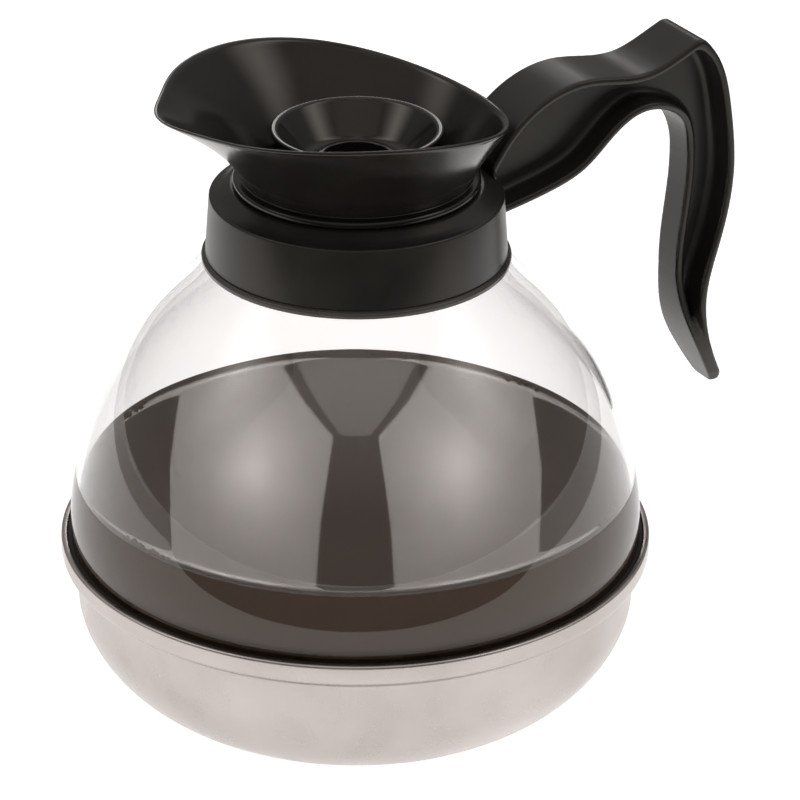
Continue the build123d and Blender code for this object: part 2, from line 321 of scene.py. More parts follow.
def turned_solid(outline, steps=TURN_STEPS):
    """The same for an open outline whose first and last points are on the axis."""
    inner = np.asarray(outline, float)[1:-1]
    count = len(inner)
    points, faces = turned(inner, steps)
    faces = [f for k, f in enumerate(faces) if k % count != count - 1]
    bottom, top = len(points), len(points) + 1
    points = np.vstack([points, (0, 0, outline[0][1]), (0, 0, outline[-1][1])])
    for i in range(steps):
        ahead = (i + 1) % steps
        faces.append((bottom, ahead * count, i * count))
        faces.append((top, i * count + count - 1, ahead * count + count - 1))
    return points, faces


def joined(*parts):
    """Several (points, faces) as one."""
    points, faces, base = [], [], 0
    for part_points, part_faces in parts:
        points.append(np.asarray(part_points, float))
        faces.extend(tuple(i + base for i in face) for face in part_faces)
        base += len(part_points)
    return np.vstack(points), faces


# ---------------------------------------------------------------- signed distances


def distance_to(outline, x, y):
    """Signed distance from each (x, y) to a closed outline, less than 0 inside it."""
    nearest = np.full(x.shape, 1e9)
    inside = np.zeros(x.shape, bool)
    for (ax, ay), (bx, by) in zip(outline, np.roll(outline, -1, axis=0)):
        dx, dy = bx - ax, by - ay
        length = dx * dx + dy * dy
        if length == 0:
            continue
        along = np.clip(((x - ax) * dx + (y - ay) * dy) / length, 0, 1)
        nearest = np.minimum(nearest, (x - ax - along * dx) ** 2 + (y - ay - along * dy) ** 2)
        if ay != by:
            crosses = ((ay > y) != (by > y)) & (x < (bx - ax) * (y - ay) / (by - ay) + ax)
            inside ^= crosses
    return np.where(inside, -1.0, 1.0) * np.sqrt(nearest)


def both(a, b, radius):
    """What is inside a and b, with their edge rounded."""
    u = np.maximum(radius + a, 0)
    v = np.maximum(radius + b, 0)
    return np.minimum(-radius, np.maximum(a, b)) + np.hypot(u, v)


def either(a, b, radius):
    """What is inside a or b, with a fillet between them."""
    u = np.maximum(radius - a, 0)
    v = np.maximum(radius - b, 0)
    return np.maximum(radius, np.minimum(a, b)) - np.hypot(u, v)


def skin(field, origin, step):
    """Points and faces of the surface where the field is 0: one point in each cell that it crosses."""
    inside = field < 0
    cell_counts = tuple(n - 1 for n in field.shape)
    total = np.zeros((*cell_counts, 3), np.float32)
    count = np.zeros(cell_counts, np.float32)
    for axis in range(3):
        others = [a for a in range(3) if a != axis]
        for shift in ((0, 0), (0, 1), (1, 0), (1, 1)):
            low = [slice(0, n) for n in cell_counts]
            for other, offset in zip(others, shift):
                low[other] = slice(offset, offset + cell_counts[other])
            high = list(low)
            high[axis] = slice(1, 1 + cell_counts[axis])
            start, end = field[tuple(low)], field[tuple(high)]
            cut = inside[tuple(low)] != inside[tuple(high)]
            total[..., axis] += np.where(cut, start / np.where(cut, start - end, 1), 0)
            for other, offset in zip(others, shift):
                total[..., other] += np.where(cut, offset, 0)
            count += cut
    used = count > 0
    number = np.full(cell_counts, -1)
    number[used] = np.arange(used.sum())
    cells = np.argwhere(used)
    points = np.asarray(origin) + (cells + total[used] / count[used][:, None]) * step
    faces = []
    for axis in range(3):
        b, c = (axis + 1) % 3, (axis + 2) % 3
        low_end = np.take(inside, range(field.shape[axis] - 1), axis)
        high_end = np.take(inside, range(1, field.shape[axis]), axis)
        for edge in np.argwhere(low_end != high_end):
            if edge[b] == 0 or edge[c] == 0 or edge[b] >= cell_counts[b] or edge[c] >= cell_counts[c]:
                continue
            ring = []
            for db, dc in ((0, 0), (1, 0), (1, 1), (0, 1)):
                cell = edge.copy()
                cell[b] -= db
                cell[c] -= dc
                ring.append(number[tuple(cell)])
            faces.append(ring if low_end[tuple(edge)] else ring[::-1])
    return points, faces


# ---------------------------------------------------------------- materials


def new_material(name):
    """A material, its tree and its main shader."""
    material = bpy.data.materials.new(name)
    material.use_nodes = True
    tree = material.node_tree
    return material, tree, tree.nodes["Principled BSDF"]


def add_noise(tree, scale, detail=4.0, stretch=(1, 1, 1)):
    """A noise pattern fixed to the object, scale per metre."""
    place = tree.nodes.new("ShaderNodeTexCoord")
    mapping = tree.nodes.new("ShaderNodeMapping")
    mapping.inputs["Scale"].default_value = stretch
    noise = tree.nodes.new("ShaderNodeTexNoise")
    noise.inputs["Scale"].default_value = scale
    noise.inputs["Detail"].default_value = detail
    tree.links.new(place.outputs["Object"], mapping.inputs["Vector"])
    tree.links.new(mapping.outputs["Vector"], noise.inputs["Vector"])
    return noise.outputs["Fac"]


def vary(tree, source, socket, low, high):
    """Drive a socket between two values by a pattern."""
    spread = tree.nodes.new("ShaderNodeMapRange")
    spread.inputs["From Min"].default_value = 0.3
    spread.inputs["From Max"].default_value = 0.7
    spread.inputs["To Min"].default_value = low
    spread.inputs["To Max"].default_value = high
    tree.links.new(source, spread.inputs["Value"])
    tree.links.new(spread.outputs["Result"], socket)


def vary_colour(tree, source, socket, low, high):
    """Drive a colour between two by a pattern."""
    ramp = tree.nodes.new("ShaderNodeValToRGB")
    ramp.color_ramp.elements[0].position = 0.3
    ramp.color_ramp.elements[1].position = 0.7
    ramp.color_ramp.elements[0].color = (*low, 1)
    ramp.color_ramp.elements[1].color = (*high, 1)
    tree.links.new(source, ramp.inputs["Fac"])
    tree.links.new(ramp.outputs["Color"], socket)


def add_bump(tree, shader, source, strength, height):
    """Fine relief from a pattern, height in metres."""
    bump = tree.nodes.new("ShaderNodeBump")
    bump.inputs["Strength"].default_value = strength
    bump.inputs["Distance"].default_value = height
    tree.links.new(source, bump.inputs["Height"])
    tree.links.new(bump.outputs["Normal"], shader.inputs["Normal"])


def plastic(name, dark, light, gloss, grain_scale, grain_height, shine=0.5):
    """A moulded black plastic: base colours, roughness range, surface grain and strength of shine."""
    material, tree, shader = new_material(name)
    cloud = add_noise(tree, 60.0)
    vary_colour(tree, cloud, shader.inputs["Base Color"], dark, light)
    vary(tree, cloud, shader.inputs["Roughness"], *gloss)
    add_bump(tree, shader, add_noise(tree, grain_scale, 2.0), 0.6, grain_height)
    shader.inputs["IOR"].default_value = 1.5
    shader.inputs["Specular Tint"].default_value = (1.0, 0.93, 0.86, 1)
    shader.inputs["Specular IOR Level"].default_value = shine
    return material


def steel_material():
    """Satin drawn steel with faint blotches and a fine grain round the base."""
    material, tree, shader = new_material("satin_steel")
    shader.inputs["Metallic"].default_value = 1.0
    shader.inputs["Anisotropic"].default_value = 0.35
    cloud = add_noise(tree, 45.0, 6.0)
    vary_colour(tree, cloud, shader.inputs["Base Color"], (0.455, 0.412, 0.392), (0.575, 0.525, 0.505))
    vary(tree, add_noise(tree, 90.0, 8.0), shader.inputs["Roughness"], 0.22, 0.38)
    add_bump(tree, shader, add_noise(tree, 500.0, 3.0, (0.25, 0.25, 6.0)), 0.25, 0.00001)
    return material


def clear_material():
    """The clear bowl, with very faint waviness and wipe marks."""
    material, tree, shader = new_material("clear_glass")
    wipe = add_noise(tree, 9.0, 2.0)
    vary_colour(tree, wipe, shader.inputs["Base Color"], (0.965, 0.955, 0.950), (0.945, 0.932, 0.925))
    shader.inputs["Transmission Weight"].default_value = 1.0
    shader.inputs["IOR"].default_value = 1.49
    shader.inputs["Specular IOR Level"].default_value = 0.43
    shader.inputs["Specular Tint"].default_value = (1.0, 0.95, 0.91, 1)
    shader.inputs["Roughness"].default_value = 0.0
    add_bump(tree, shader, add_noise(tree, 18.0, 0.0), 0.10, 0.0002)
    return material


def coffee_material():
    """Black coffee: dark brown, taken as opaque, and glossy."""
    material, tree, shader = new_material("black_coffee")
    shader.inputs["IOR"].default_value = 1.34
    shader.inputs["Roughness"].default_value = 0.02
    shader.inputs["Specular Tint"].default_value = (1.0, 0.90, 0.86, 1)
    swirl = add_noise(tree, 22.0, 3.0)
    vary_colour(tree, swirl, shader.inputs["Base Color"], (0.066, 0.035, 0.018), (0.080, 0.044, 0.023))
    add_bump(tree, shader, add_noise(tree, 12.0, 0.0), 0.05, 0.0003)
    return material


def bubble_material():
    """The thin brown skin of a coffee bubble."""
    material, tree, shader = new_material("coffee_bubble")
    shader.inputs["Transmission Weight"].default_value = 0.75
    shader.inputs["IOR"].default_value = 1.25
    shader.inputs["Roughness"].default_value = 0.05
    film = add_noise(tree, 400.0)
    vary_colour(tree, film, shader.inputs["Base Color"], (0.42, 0.24, 0.12), (0.62, 0.42, 0.26))
    return material


def floor_material():
    """Pale matt studio paper."""
    material, tree, shader = new_material("studio_paper")
    shader.inputs["Roughness"].default_value = 0.9
    shader.inputs["Specular IOR Level"].default_value = 0.2
    shader.inputs["Emission Color"].default_value = (1, 1, 1, 1)
    shader.inputs["Emission Strength"].default_value = FLOOR_GLOW
    cloud = add_noise(tree, 3.0)
    vary_colour(tree, cloud, shader.inputs["Base Color"], (0.86, 0.86, 0.86), (0.88, 0.88, 0.88))
    return material


# ---------------------------------------------------------------- pieces


def pan_curve(gap):
    """The rounded side of the pan, moved in by the gap."""
    radius = PAN_RADIUS - gap
    points = []
    for i in range(33):
        angle = math.pi / 2 * i / 32
        out = math.sin(angle) ** PAN_ROUNDNESS
        down = max(math.cos(angle), 0.0) ** PAN_ROUNDNESS
        height = PAN_SHOULDER - (PAN_SHOULDER - gap) * down
        points.append((FLAT_RADIUS + (radius - FLAT_RADIUS) * out, height))
    return np.array(points)


def make_base_pan(material):
    """The steel pan with its rolled band."""
    step = BAND_BOTTOM + BAND_STEP
    band = rounded([
        (PAN_RADIUS, BAND_BOTTOM, 1.4), (BAND_RADIUS, step, 2.0), (BAND_RADIUS, BAND_TOP, 1.6),
        (HEM_RADIUS, BAND_TOP, 0.4), (HEM_RADIUS, BAND_TOP - SHEET, 0.4),
        (BAND_RADIUS - SHEET, BAND_TOP - SHEET, 0.6), (BAND_RADIUS - SHEET, step + SHEET, 1.2),
        (PAN_RADIUS - SHEET, BAND_BOTTOM + SHEET, 1.2),
        (PAN_RADIUS - SHEET, PAN_SHOULDER + 1, 0), (PAN_RADIUS, PAN_SHOULDER + 1, 0),
    ])[:-2]
    outline = [(0, 0), *pan_curve(0), *band, *pan_curve(SHEET)[::-1], (0, SHEET)]
    return make_object("steel_base", *turned_solid(outline), material, 60)


def thread(radius, depth, start):
    """The ridges that stand in for a thread, up a (radius, height) outline."""
    line = []
    for i in range(THREAD_COUNT):
        middle = start + i * THREAD_PITCH
        tip = radius + depth
        line += [(radius, middle - 1.1), (tip, middle - 0.4), (tip, middle + 0.4), (radius, middle + 1.1)]
    return line


def make_bowl(material):
    """The clear dome with its foot, shoulder and neck."""
    outside = spline(BOWL_CURVE, BOWL_CURVE_STEPS)
    inside = beside(outside, BOWL_WALL)
    foot_radius, foot_height = BOWL_CURVE[0]
    bore = foot_radius - BOWL_WALL
    low = inside[:, 1] < foot_height + FOOT_WALL
    inside[:, 0] = np.where(low, np.minimum(inside[:, 0], bore + 0.2), inside[:, 0])
    ridges = [(r, z, 0.4) for r, z in thread(NECK_RADIUS, NECK_THREAD_DEPTH, NECK_THREAD_START)]
    neck = rounded([
        (*outside[-1], 0), (outside[-1][0] - 1.2, SHOULDER_HEIGHT, 0.8),
        (NECK_RADIUS, SHOULDER_HEIGHT, 0.6), *ridges,
        (NECK_RADIUS, NECK_TOP, 0.7), (NECK_BORE, NECK_TOP, 0.7),
        (NECK_BORE, SHOULDER_HEIGHT - BOWL_WALL, 1.0), (*inside[-1], 0),
    ])
    rest_radius = HEM_RADIUS - 0.2
    foot = [(bore, BOWL_FOOT), (rest_radius, BOWL_FOOT), (rest_radius, foot_height)]
    outline = [*outside[:-1], *neck, *inside[::-1][1:], *foot]
    return make_object("clear_bowl", *turned(outline), material, 40)


def make_coffee(material):
    """The coffee that fills the base and the foot of the bowl, with a raised edge."""
    top = COFFEE_LEVEL + MENISCUS
    foot_radius, foot_height = BOWL_CURVE[0]
    wall = beside(spline(BOWL_CURVE, BOWL_CURVE_STEPS), BOWL_WALL - FILL_GAP)
    wall = [(r, z) for r, z in wall if foot_height + FOOT_WALL < z < top]
    radii, heights = zip(*wall[-2:])
    edge_radius = float(np.interp(top, heights, radii))
    level_radius = edge_radius - MENISCUS_WIDTH
    surface = []
    for i in range(14):
        fall = i / 13
        surface.append((edge_radius - MENISCUS_WIDTH * fall, COFFEE_LEVEL + MENISCUS * (1 - fall) ** 3))
    rings = [(level_radius * (1 - k / 12), COFFEE_LEVEL) for k in range(1, 12)]
    inset = pan_curve(SHEET + FILL_GAP)
    start = (foot_radius - BOWL_WALL + FILL_GAP, BOWL_FOOT)
    outline = [(0, SHEET + FILL_GAP), *inset, start, *wall, *surface, *rings, (0, COFFEE_LEVEL)]
    return make_object("coffee", *turned_solid(outline), material, 60)


def make_bubbles(material):
    """Small bubbles gathered against the glass round the coffee's edge."""
    draw = random.Random(BUBBLE_SEED)
    parts = []
    angle = 0.0
    for i in range(BUBBLE_COUNT):
        if i % BUBBLE_GROUP == 0:
            angle = draw.uniform(0, 2 * math.pi)
        angle += draw.uniform(0.012, 0.035)
        size = draw.uniform(0.35, 0.85)
        reach = BUBBLE_RING - size - draw.uniform(0.0, 0.9)
        outline = [(abs(size * math.sin(t)), size * math.cos(t)) for t in np.linspace(math.pi, 0, 9)]
        points, faces = turned_solid(outline, 14)
        climb = max(0.0, 1 - (BUBBLE_RING - reach) / MENISCUS_WIDTH)
        lift = COFFEE_LEVEL + MENISCUS * climb**3 + 0.15 * size
        parts.append((points + (reach * math.cos(angle), reach * math.sin(angle), lift), faces))
    return make_object("coffee_bubbles", *joined(*parts), material, 80)


def make_collar(material):
    """The ring over the neck, with a tapered wall and a dished crown."""
    seat = NECK_TOP + NECK_SEAL_THICKNESS
    ridges = [(r, z, 0.3) for r, z in thread(COLLAR_BORE, -COLLAR_THREAD_DEPTH, COLLAR_THREAD_START)]
    dish = [(*corner, radius) for corner, radius in zip(CROWN_DISH, CROWN_ROUNDING)]
    outline = rounded([
        (COLLAR_FOOT_RADIUS, COLLAR_BOTTOM, 0.5), *dish[::-1],
        (NECK_BORE, COLLAR_CROWN, 0.3), (NECK_BORE, seat, 0), (COLLAR_BORE, seat, 0.2), *ridges[::-1],
        (COLLAR_BORE, COLLAR_BOTTOM, 0.3),
    ])
    return make_object("collar", *turned(outline), material, 50)


def make_bead(material):
    """The soft ring between the collar and the shoulder of the bowl, which shows as a bead."""
    inner = NECK_RADIUS + 1.5
    top = SHOULDER_HEIGHT + 0.05
    outline = rounded([
        (inner, top, 0), (40.3, top, 0.4), (41.2, BEAD_BOTTOM + 0.35, 0.4),
        (BEAD_RADIUS - 0.2, BEAD_BOTTOM, 0.7), (BEAD_RADIUS, BEAD_BOTTOM + 1.6, 1.0),
        (COLLAR_FOOT_RADIUS, COLLAR_BOTTOM, 0.2), (inner, COLLAR_BOTTOM, 0),
    ])
    return make_object("shoulder_bead", *turned(outline), material, 60)


def trimmed(line, start, end):
    """The line without its first and last stretches."""
    places = np.concatenate([[0], np.cumsum(np.linalg.norm(np.diff(line, axis=0), axis=1))])
    wanted = np.linspace(start, places[-1] - end, 60)
    return np.column_stack([np.interp(wanted, places, line[:, k]) for k in (0, 1)])


def bend(start, corner, end, steps=8):
    """A short curve from start to end that heads for the corner."""
    start, corner, end = (np.array(p, float) for p in (start, corner, end))
    shares = np.linspace(0, 1, steps + 2)[1:-1]
    return [(1 - t) ** 2 * start + 2 * t * (1 - t) * corner + t**2 * end for t in shares]


def handle_outline():
    """The side view of the handle, with its thumb corner rounded."""
    top = trimmed(spline(HANDLE_TOP_LINE), 0, THUMB_ROUNDING)
    back = trimmed(spline(HANDLE_BACK_LINE), THUMB_ROUNDING, 0)
    corner = bend(top[-1], HANDLE_TOP_LINE[-1], back[0])
    return np.array([*top, *corner, *back, *spline(HANDLE_TIP_LINE)[1:-1], *spline(HANDLE_GRIP_LINE, 6)])


def recess_outline():
    """The side view of the recess, one flange inside the outline."""
    top = beside(spline(HANDLE_TOP_LINE), -FLANGE)
    back = beside(spline(HANDLE_BACK_LINE), -FLANGE)
    grip = beside(spline(HANDLE_GRIP_LINE), -FLANGE)
    top = trimmed(top, 0, THUMB_ROUNDING + 1.2)
    back = np.array([p for p in back if RECESS_FOOT < p[1] < top[-1][1] - 2.5])
    grip = np.array([p for p in grip if p[1] > RECESS_FOOT])
    corner = bend(top[-1], RECESS_CORNER, back[0])
    foot = bend(back[-1], RECESS_END, grip[0])
    return np.array([*top, *corner, *back, *foot, *grip])


def smooth_step(value, low, high):
    """0 below low, 1 above high and a smooth rise between."""
    share = np.clip((value - low) / (high - low), 0, 1)
    return share * share * (3 - 2 * share)


def along_arch(line):
    """How far each point of the grip line has gone round the arch to the arm, from 0 to 1."""
    places = np.concatenate([[0], np.cumsum(np.linalg.norm(np.diff(line, axis=0), axis=1))])
    start = places[np.argmin(np.hypot(line[:, 0] - ARCH_START[0], line[:, 1] - ARCH_START[1]))]
    end = places[np.argmin(np.hypot(line[:, 0] - ARCH_END[0], line[:, 1] - ARCH_END[1]))]
    return smooth_step(places, start, end)


def handle_half_width(x, z):
    """Half the handle's width: it narrows to the tip, and along the grip on its inner side."""
    tail = np.interp(z, TAIL_WIDTHS[:, 1], TAIL_WIDTHS[:, 0])
    line = spline(HANDLE_GRIP_LINE, 40)
    share = smooth_step(line[:, 1], *GRIP_NARROWS) * (1 - along_arch(line))
    nearest = np.full(x.shape, 1e9)
    narrow = np.zeros(x.shape)
    for (px, pz), part in zip(line, share):
        gap = np.hypot(x - px, z - pz)
        closer = gap < nearest
        nearest = np.where(closer, gap, nearest)
        narrow = np.where(closer, part, narrow)
    narrow *= 1 - smooth_step(nearest, FLANGE + 0.4, FLANGE + 1.8)
    return tail - np.maximum(tail - GRIP_HALF_WIDTH, 0) * narrow


def handle_arm(xs, zs, across):
    """The field of the handle alone: its side view, its width and the recess on both sides."""
    x, z = np.meshgrid(xs, zs, indexing="ij")
    side = distance_to(handle_outline(), x, z).astype(np.float32)[:, None, :]
    recess = distance_to(recess_outline(), x, z).astype(np.float32)[:, None, :]
    half = handle_half_width(x, z).astype(np.float32)[:, None, :]
    body = both(side, across - half, EDGE_ROUNDING)
    pocket = both(recess, WEB_HALF - across, POCKET_ROUNDING)
    return both(body, -pocket, EDGE_ROUNDING)


def handle_room(radius, height):
    """The field of the space open to the handle: outside the funnel, and outside the collar's bore."""
    funnel_side = FLANGE_RADIUS + FUNNEL_GAP + FUNNEL_SPREAD * (height - COLLAR_CROWN)
    above = FUNNEL_SLANT * (funnel_side - radius)
    return np.where(height > COLLAR_CROWN, above, COLLAR_BORE + ROOT_GAP - radius)


def collar_side(radius, height):
    """The field of the collar, a little inside its surface, for the handle to grow out of."""
    wall = radius - COLLAR_FOOT_RADIUS + (height - COLLAR_BOTTOM) * COLLAR_TAPER
    crown = height - np.interp(radius, *zip(*CROWN_DISH)).astype(np.float32)
    return np.maximum(np.maximum(wall, crown), COLLAR_BOTTOM + ROOT_LIFT - height) + ROOT_INSET


def make_handle(material):
    """The I-section handle with rounded edges and a fillet where it grows out of the collar."""
    sizes = np.ceil((HANDLE_HIGH - HANDLE_LOW) / HANDLE_GRID).astype(int) + 1
    xs, ys, zs = (HANDLE_LOW[k] + HANDLE_GRID * np.arange(sizes[k]) for k in range(3))
    across = np.abs(ys).astype(np.float32)[None, :, None]
    height = zs.astype(np.float32)[None, None, :]
    radius = np.hypot(xs[:, None], ys[None, :]).astype(np.float32)[:, :, None]
    body = both(handle_arm(xs, zs, across), handle_room(radius, height), 0.3)
    body = either(body, collar_side(radius, height), ROOT_FILLET)
    body = np.maximum(body, COLLAR_BORE + ROOT_GAP - radius)
    body = np.maximum(body, across - ROOT_HALF_WIDTH)
    points, faces = skin(body.astype(np.float32), HANDLE_LOW, HANDLE_GRID)
    return make_object("handle", points, faces, material, 180)


def beak_shape(angle):
    """The narrow beak at an angle from the lip's middle, from 0 to 1."""
    beak = math.degrees(math.remainder(angle - BEAK_TURN, 2 * math.pi)) / BEAK_SPREAD
    return math.exp(-(beak**2))


def lip_shape(angle):
    """How far the lip reaches at an angle from its middle: broad cheeks and a narrow beak."""
    cheek = math.degrees(math.remainder(angle, 2 * math.pi)) / CHEEK_SPREAD
    return BEAK_SHARE * beak_shape(angle) + CHEEK_SHARE * math.exp(-(cheek**2))


def flare_curves():
    """The flare's side radius and its lip's reach, as curves over the height from its middle."""
    heights = np.array([level[0] for level in FLARE]) - FLARE_MIDDLE
    side = np.polyfit(heights, [level[1] for level in FLARE], len(FLARE) - 1)
    reach = np.polyfit(heights, [level[2] for level in FLARE], len(FLARE) - 1)
    return side, reach


def flare_section(side, reach, angle):
    """A cut through the flare at an angle from the lip: up its outside, over the rim and down inside."""
    lip = lip_shape(angle)

    def flare(z):
        return np.polyval(side, z - FLARE_MIDDLE) + np.polyval(reach, z - FLARE_MIDDLE) * lip

    saddle = RIM_HEIGHT + BEAK_LIFT * beak_shape(angle)
    rim = RIM_HEIGHT
    for _ in range(12):
        x = -flare(rim) * math.cos(angle)
        rim = 0.5 * rim + 0.5 * (saddle - RIM_SLOPE * x - RIM_BEND * x * x)
    below = rim - RIM_ROUNDING
    outer = [(flare(z), z) for z in np.linspace(FLARE_FOOT + 0.5, below, FLARE_LEVELS)]
    inner = [(r - FUNNEL_WALL, z) for r, z in outer][::-1]
    top = outer[-1][0]
    half = (top - inner[0][0]) / 2
    lean = RIM_ROUNDING * (flare(rim) - flare(below))
    over = []
    for k in range(1, 8):
        cos, sin = math.cos(math.pi * k / 8), math.sin(math.pi * k / 8)
        over.append((top - half + lean * sin + half * cos, below + RIM_ROUNDING * sin))
    return [*outer, *over, *inner]


def make_funnel(material):
    """The funnel: spigot, bead, flare and a saddle-shaped rim drawn out into a lip."""
    spigot = rounded([
        (SPIGOT_BORE, SPIGOT_BOTTOM, 0.6), (SPIGOT_RADIUS, SPIGOT_BOTTOM, 0.9),
        (SPIGOT_RADIUS, GROOVE[0], 0.2), (GROOVE_RADIUS, GROOVE[0], 0.2),
        (GROOVE_RADIUS, GROOVE[1], 0.2), (SPIGOT_RADIUS, GROOVE[1], 0.2),
        (SPIGOT_RADIUS, FLANGE_BOTTOM, 0.1), (FLANGE_RADIUS, FLANGE_BOTTOM, 0.9),
        (FLANGE_RADIUS, FLANGE_TOP, 0.9), (31.2, FLANGE_TOP + 0.5, 0.6), (32.2, 156.0, 0),
    ])[:-1]
    throat = rounded([
        (THROAT_RADIUS + 1, 156.0, 0), (THROAT_RADIUS, FLARE_FOOT, 0.8), (THROAT_RADIUS, LEDGE_HEIGHT, 0.4),
        (SPIGOT_BORE, LEDGE_HEIGHT, 0.4), (SPIGOT_BORE, SPIGOT_BOTTOM + 1, 0),
    ])[1:-1]
    side, reach = flare_curves()
    steps = TURN_STEPS * 2
    points = []
    for i in range(steps):
        angle = 2 * math.pi * i / steps
        section = [*spigot, *flare_section(side, reach, angle), *throat]
        points.extend((-r * math.cos(angle), r * math.sin(angle), z) for r, z in section)
    count = len(section)
    faces = []
    for i in range(steps):
        ahead = (i + 1) % steps
        for j in range(count):
            up = (j + 1) % count
            faces.append((i * count + up, ahead * count + up, ahead * count + j, i * count + j))
    return make_object("pouring_funnel", np.array(points), faces, material, 60)


def make_cup(material):
    """The brew-through cup: dish, drip tube and fins."""
    under = CUP_FLOOR - CUP_WALL
    dish = rounded([
        (TUBE_BORE, TUBE_BOTTOM, 0.3), (TUBE_BORE + 1.4, TUBE_BOTTOM, 0.4), (TUBE_RADIUS + 0.3, under, 0.8),
        (CUP_FLOOR_RADIUS + 1.1, under, 1.6), (CUP_RIM_RADIUS, CUP_RIM_HEIGHT - 1.2, 0.8),
        (CUP_RIM_RADIUS, CUP_RIM_HEIGHT, 0.6), (CUP_RIM_RADIUS - 1.7, CUP_RIM_HEIGHT, 0.8),
        (CUP_FLOOR_RADIUS - 0.5, CUP_FLOOR, 2.2), (TUBE_RADIUS, CUP_FLOOR, 0.4),
        (TUBE_RADIUS, TUBE_TOP, 0.5), (TUBE_BORE, TUBE_TOP, 0.5),
    ])
    parts = [turned(dish)]
    fin = [
        (CUP_FLOOR_RADIUS - 2, under + 0.4), (CUP_FLOOR_RADIUS + 2, LEDGE_HEIGHT),
        (FIN_REACH, LEDGE_HEIGHT), (FIN_REACH, FIN_SHOULDER),
        (CUP_FLOOR_RADIUS + 4.5, FIN_TOP), (CUP_FLOOR_RADIUS + 2.4, under + 3),
    ]
    for k in range(FIN_COUNT):
        angle = FIN_TURN + 2 * math.pi * k / FIN_COUNT
        cos, sin = math.cos(angle), math.sin(angle)
        points = []
        for y in (-FIN_THICKNESS / 2, FIN_THICKNESS / 2):
            points.extend((r * cos - y * sin, r * sin + y * cos, z) for r, z in fin)
        count = len(fin)
        faces = [tuple(range(count)), tuple(range(2 * count - 1, count - 1, -1))]
        faces += [(j, j + count, (j + 1) % count + count, (j + 1) % count) for j in range(count)]
        parts.append((points, faces))
    return make_object("brew_through_cup", *joined(*parts), material, 40)


# ---------------------------------------------------------------- studio


def from_view(right, away, up):
    """A place given as seen from the camera, in the frame's axes."""
    cos, sin = math.cos(VIEW_TURN), math.sin(VIEW_TURN)
    return Vector((right * cos + away * sin, -right * sin + away * cos, up))


def add_camera():
    """The camera at the picture's viewing angle."""
    yaw, pitch, roll = CAMERA_YAW, CAMERA_PITCH, CAMERA_ROLL
    level, dip = math.cos(pitch), math.sin(pitch)
    forward = from_view(math.sin(yaw) * level, math.cos(yaw) * level, -dip)
    right = from_view(math.cos(yaw), -math.sin(yaw), 0)
    up = from_view(math.sin(yaw) * dip, math.cos(yaw) * dip, level)
    turned_right = math.cos(roll) * right + math.sin(roll) * up
    turned_up = math.cos(roll) * up - math.sin(roll) * right
    data = bpy.data.cameras.new("camera")
    data.lens = CAMERA_LENS
    data.sensor_width = 36
    camera = bpy.data.objects.new("camera", data)
    aim = Matrix((turned_right, turned_up, -forward)).transposed().to_4x4()
    camera.matrix_world = Matrix.Translation(from_view(0, -CAMERA_DISTANCE, CAMERA_HEIGHT)) @ aim
    bpy.context.scene.collection.objects.link(camera)
    bpy.context.scene.camera = camera


def glow_material(name, reach, edge, middle):
    """Glowing cloth whose strength falls from the middle to the edge over the reach, (right, up)."""
    material = bpy.data.materials.new(name)
    material.use_nodes = True
    tree = material.node_tree
    tree.nodes.clear()
    output = tree.nodes.new("ShaderNodeOutputMaterial")
    emission = tree.nodes.new("ShaderNodeEmission")
    emission.inputs["Color"].default_value = LAMP_COLOUR
    coordinates = tree.nodes.new("ShaderNodeTexCoord")
    mapping = tree.nodes.new("ShaderNodeMapping")
    mapping.inputs["Scale"].default_value = (1 / reach[0], 1 / reach[1], 1)
    spot = tree.nodes.new("ShaderNodeTexGradient")
    spot.gradient_type = "QUADRATIC_SPHERE"
    spread = tree.nodes.new("ShaderNodeMapRange")
    spread.inputs["To Min"].default_value = edge
    spread.inputs["To Max"].default_value = middle
    tree.links.new(coordinates.outputs["Object"], mapping.inputs["Vector"])
    tree.links.new(mapping.outputs["Vector"], spot.inputs["Vector"])
    tree.links.new(spot.outputs["Fac"], spread.inputs["Value"])
    tree.links.new(spread.outputs["Result"], emission.inputs["Strength"])
    tree.links.new(emission.outputs["Emission"], output.inputs["Surface"])
    return material


def add_glow(material, place, target, corners):
    """A panel at a place as seen from the camera, turned to a target, with (right, up) corners."""
    mesh = bpy.data.meshes.new(material.name)
    mesh.from_pydata([(-right, up, 0) for right, up in corners], [], [tuple(range(len(corners)))])
    mesh.materials.append(material)
    panel = bpy.data.objects.new(material.name, mesh)
    panel.location = from_view(*place)
    aim = from_view(*target) - panel.location
    panel.rotation_euler = aim.to_track_quat("-Z", "Y").to_euler()
    panel.visible_camera = False
    bpy.context.scene.collection.objects.link(panel)


def add_surround():
    """The dark room round the table, which only reflections show: four cards round an opening."""
    material, _, shader = new_material("dark_room")
    shader.inputs["Base Color"].default_value = (0.012, 0.011, 0.010, 1)
    shader.inputs["Roughness"].default_value = 1.0
    left, right, near, far = TABLE
    cards = [
        (-FLOOR_REACH, FLOOR_REACH, -FLOOR_REACH, near), (-FLOOR_REACH, FLOOR_REACH, far, FLOOR_REACH),
        (-FLOOR_REACH, left, near, far), (right, FLOOR_REACH, near, far),
    ]
    points, faces = [], []
    for low_x, high_x, low_y, high_y in cards:
        start = len(points)
        corners = [(low_x, low_y), (high_x, low_y), (high_x, high_y), (low_x, high_y)]
        points.extend(tuple(from_view(x, y, CARD_HEIGHT)) for x, y in corners)
        faces.append((start, start + 1, start + 2, start + 3))
    mesh = bpy.data.meshes.new("dark_surround")
    mesh.from_pydata(points, [], faces)
    mesh.materials.append(material)
    surround = bpy.data.objects.new("dark_surround", mesh)
    surround.visible_camera = False
    surround.visible_diffuse = False
    surround.visible_transmission = False
    surround.visible_shadow = False
    bpy.context.scene.collection.objects.link(surround)


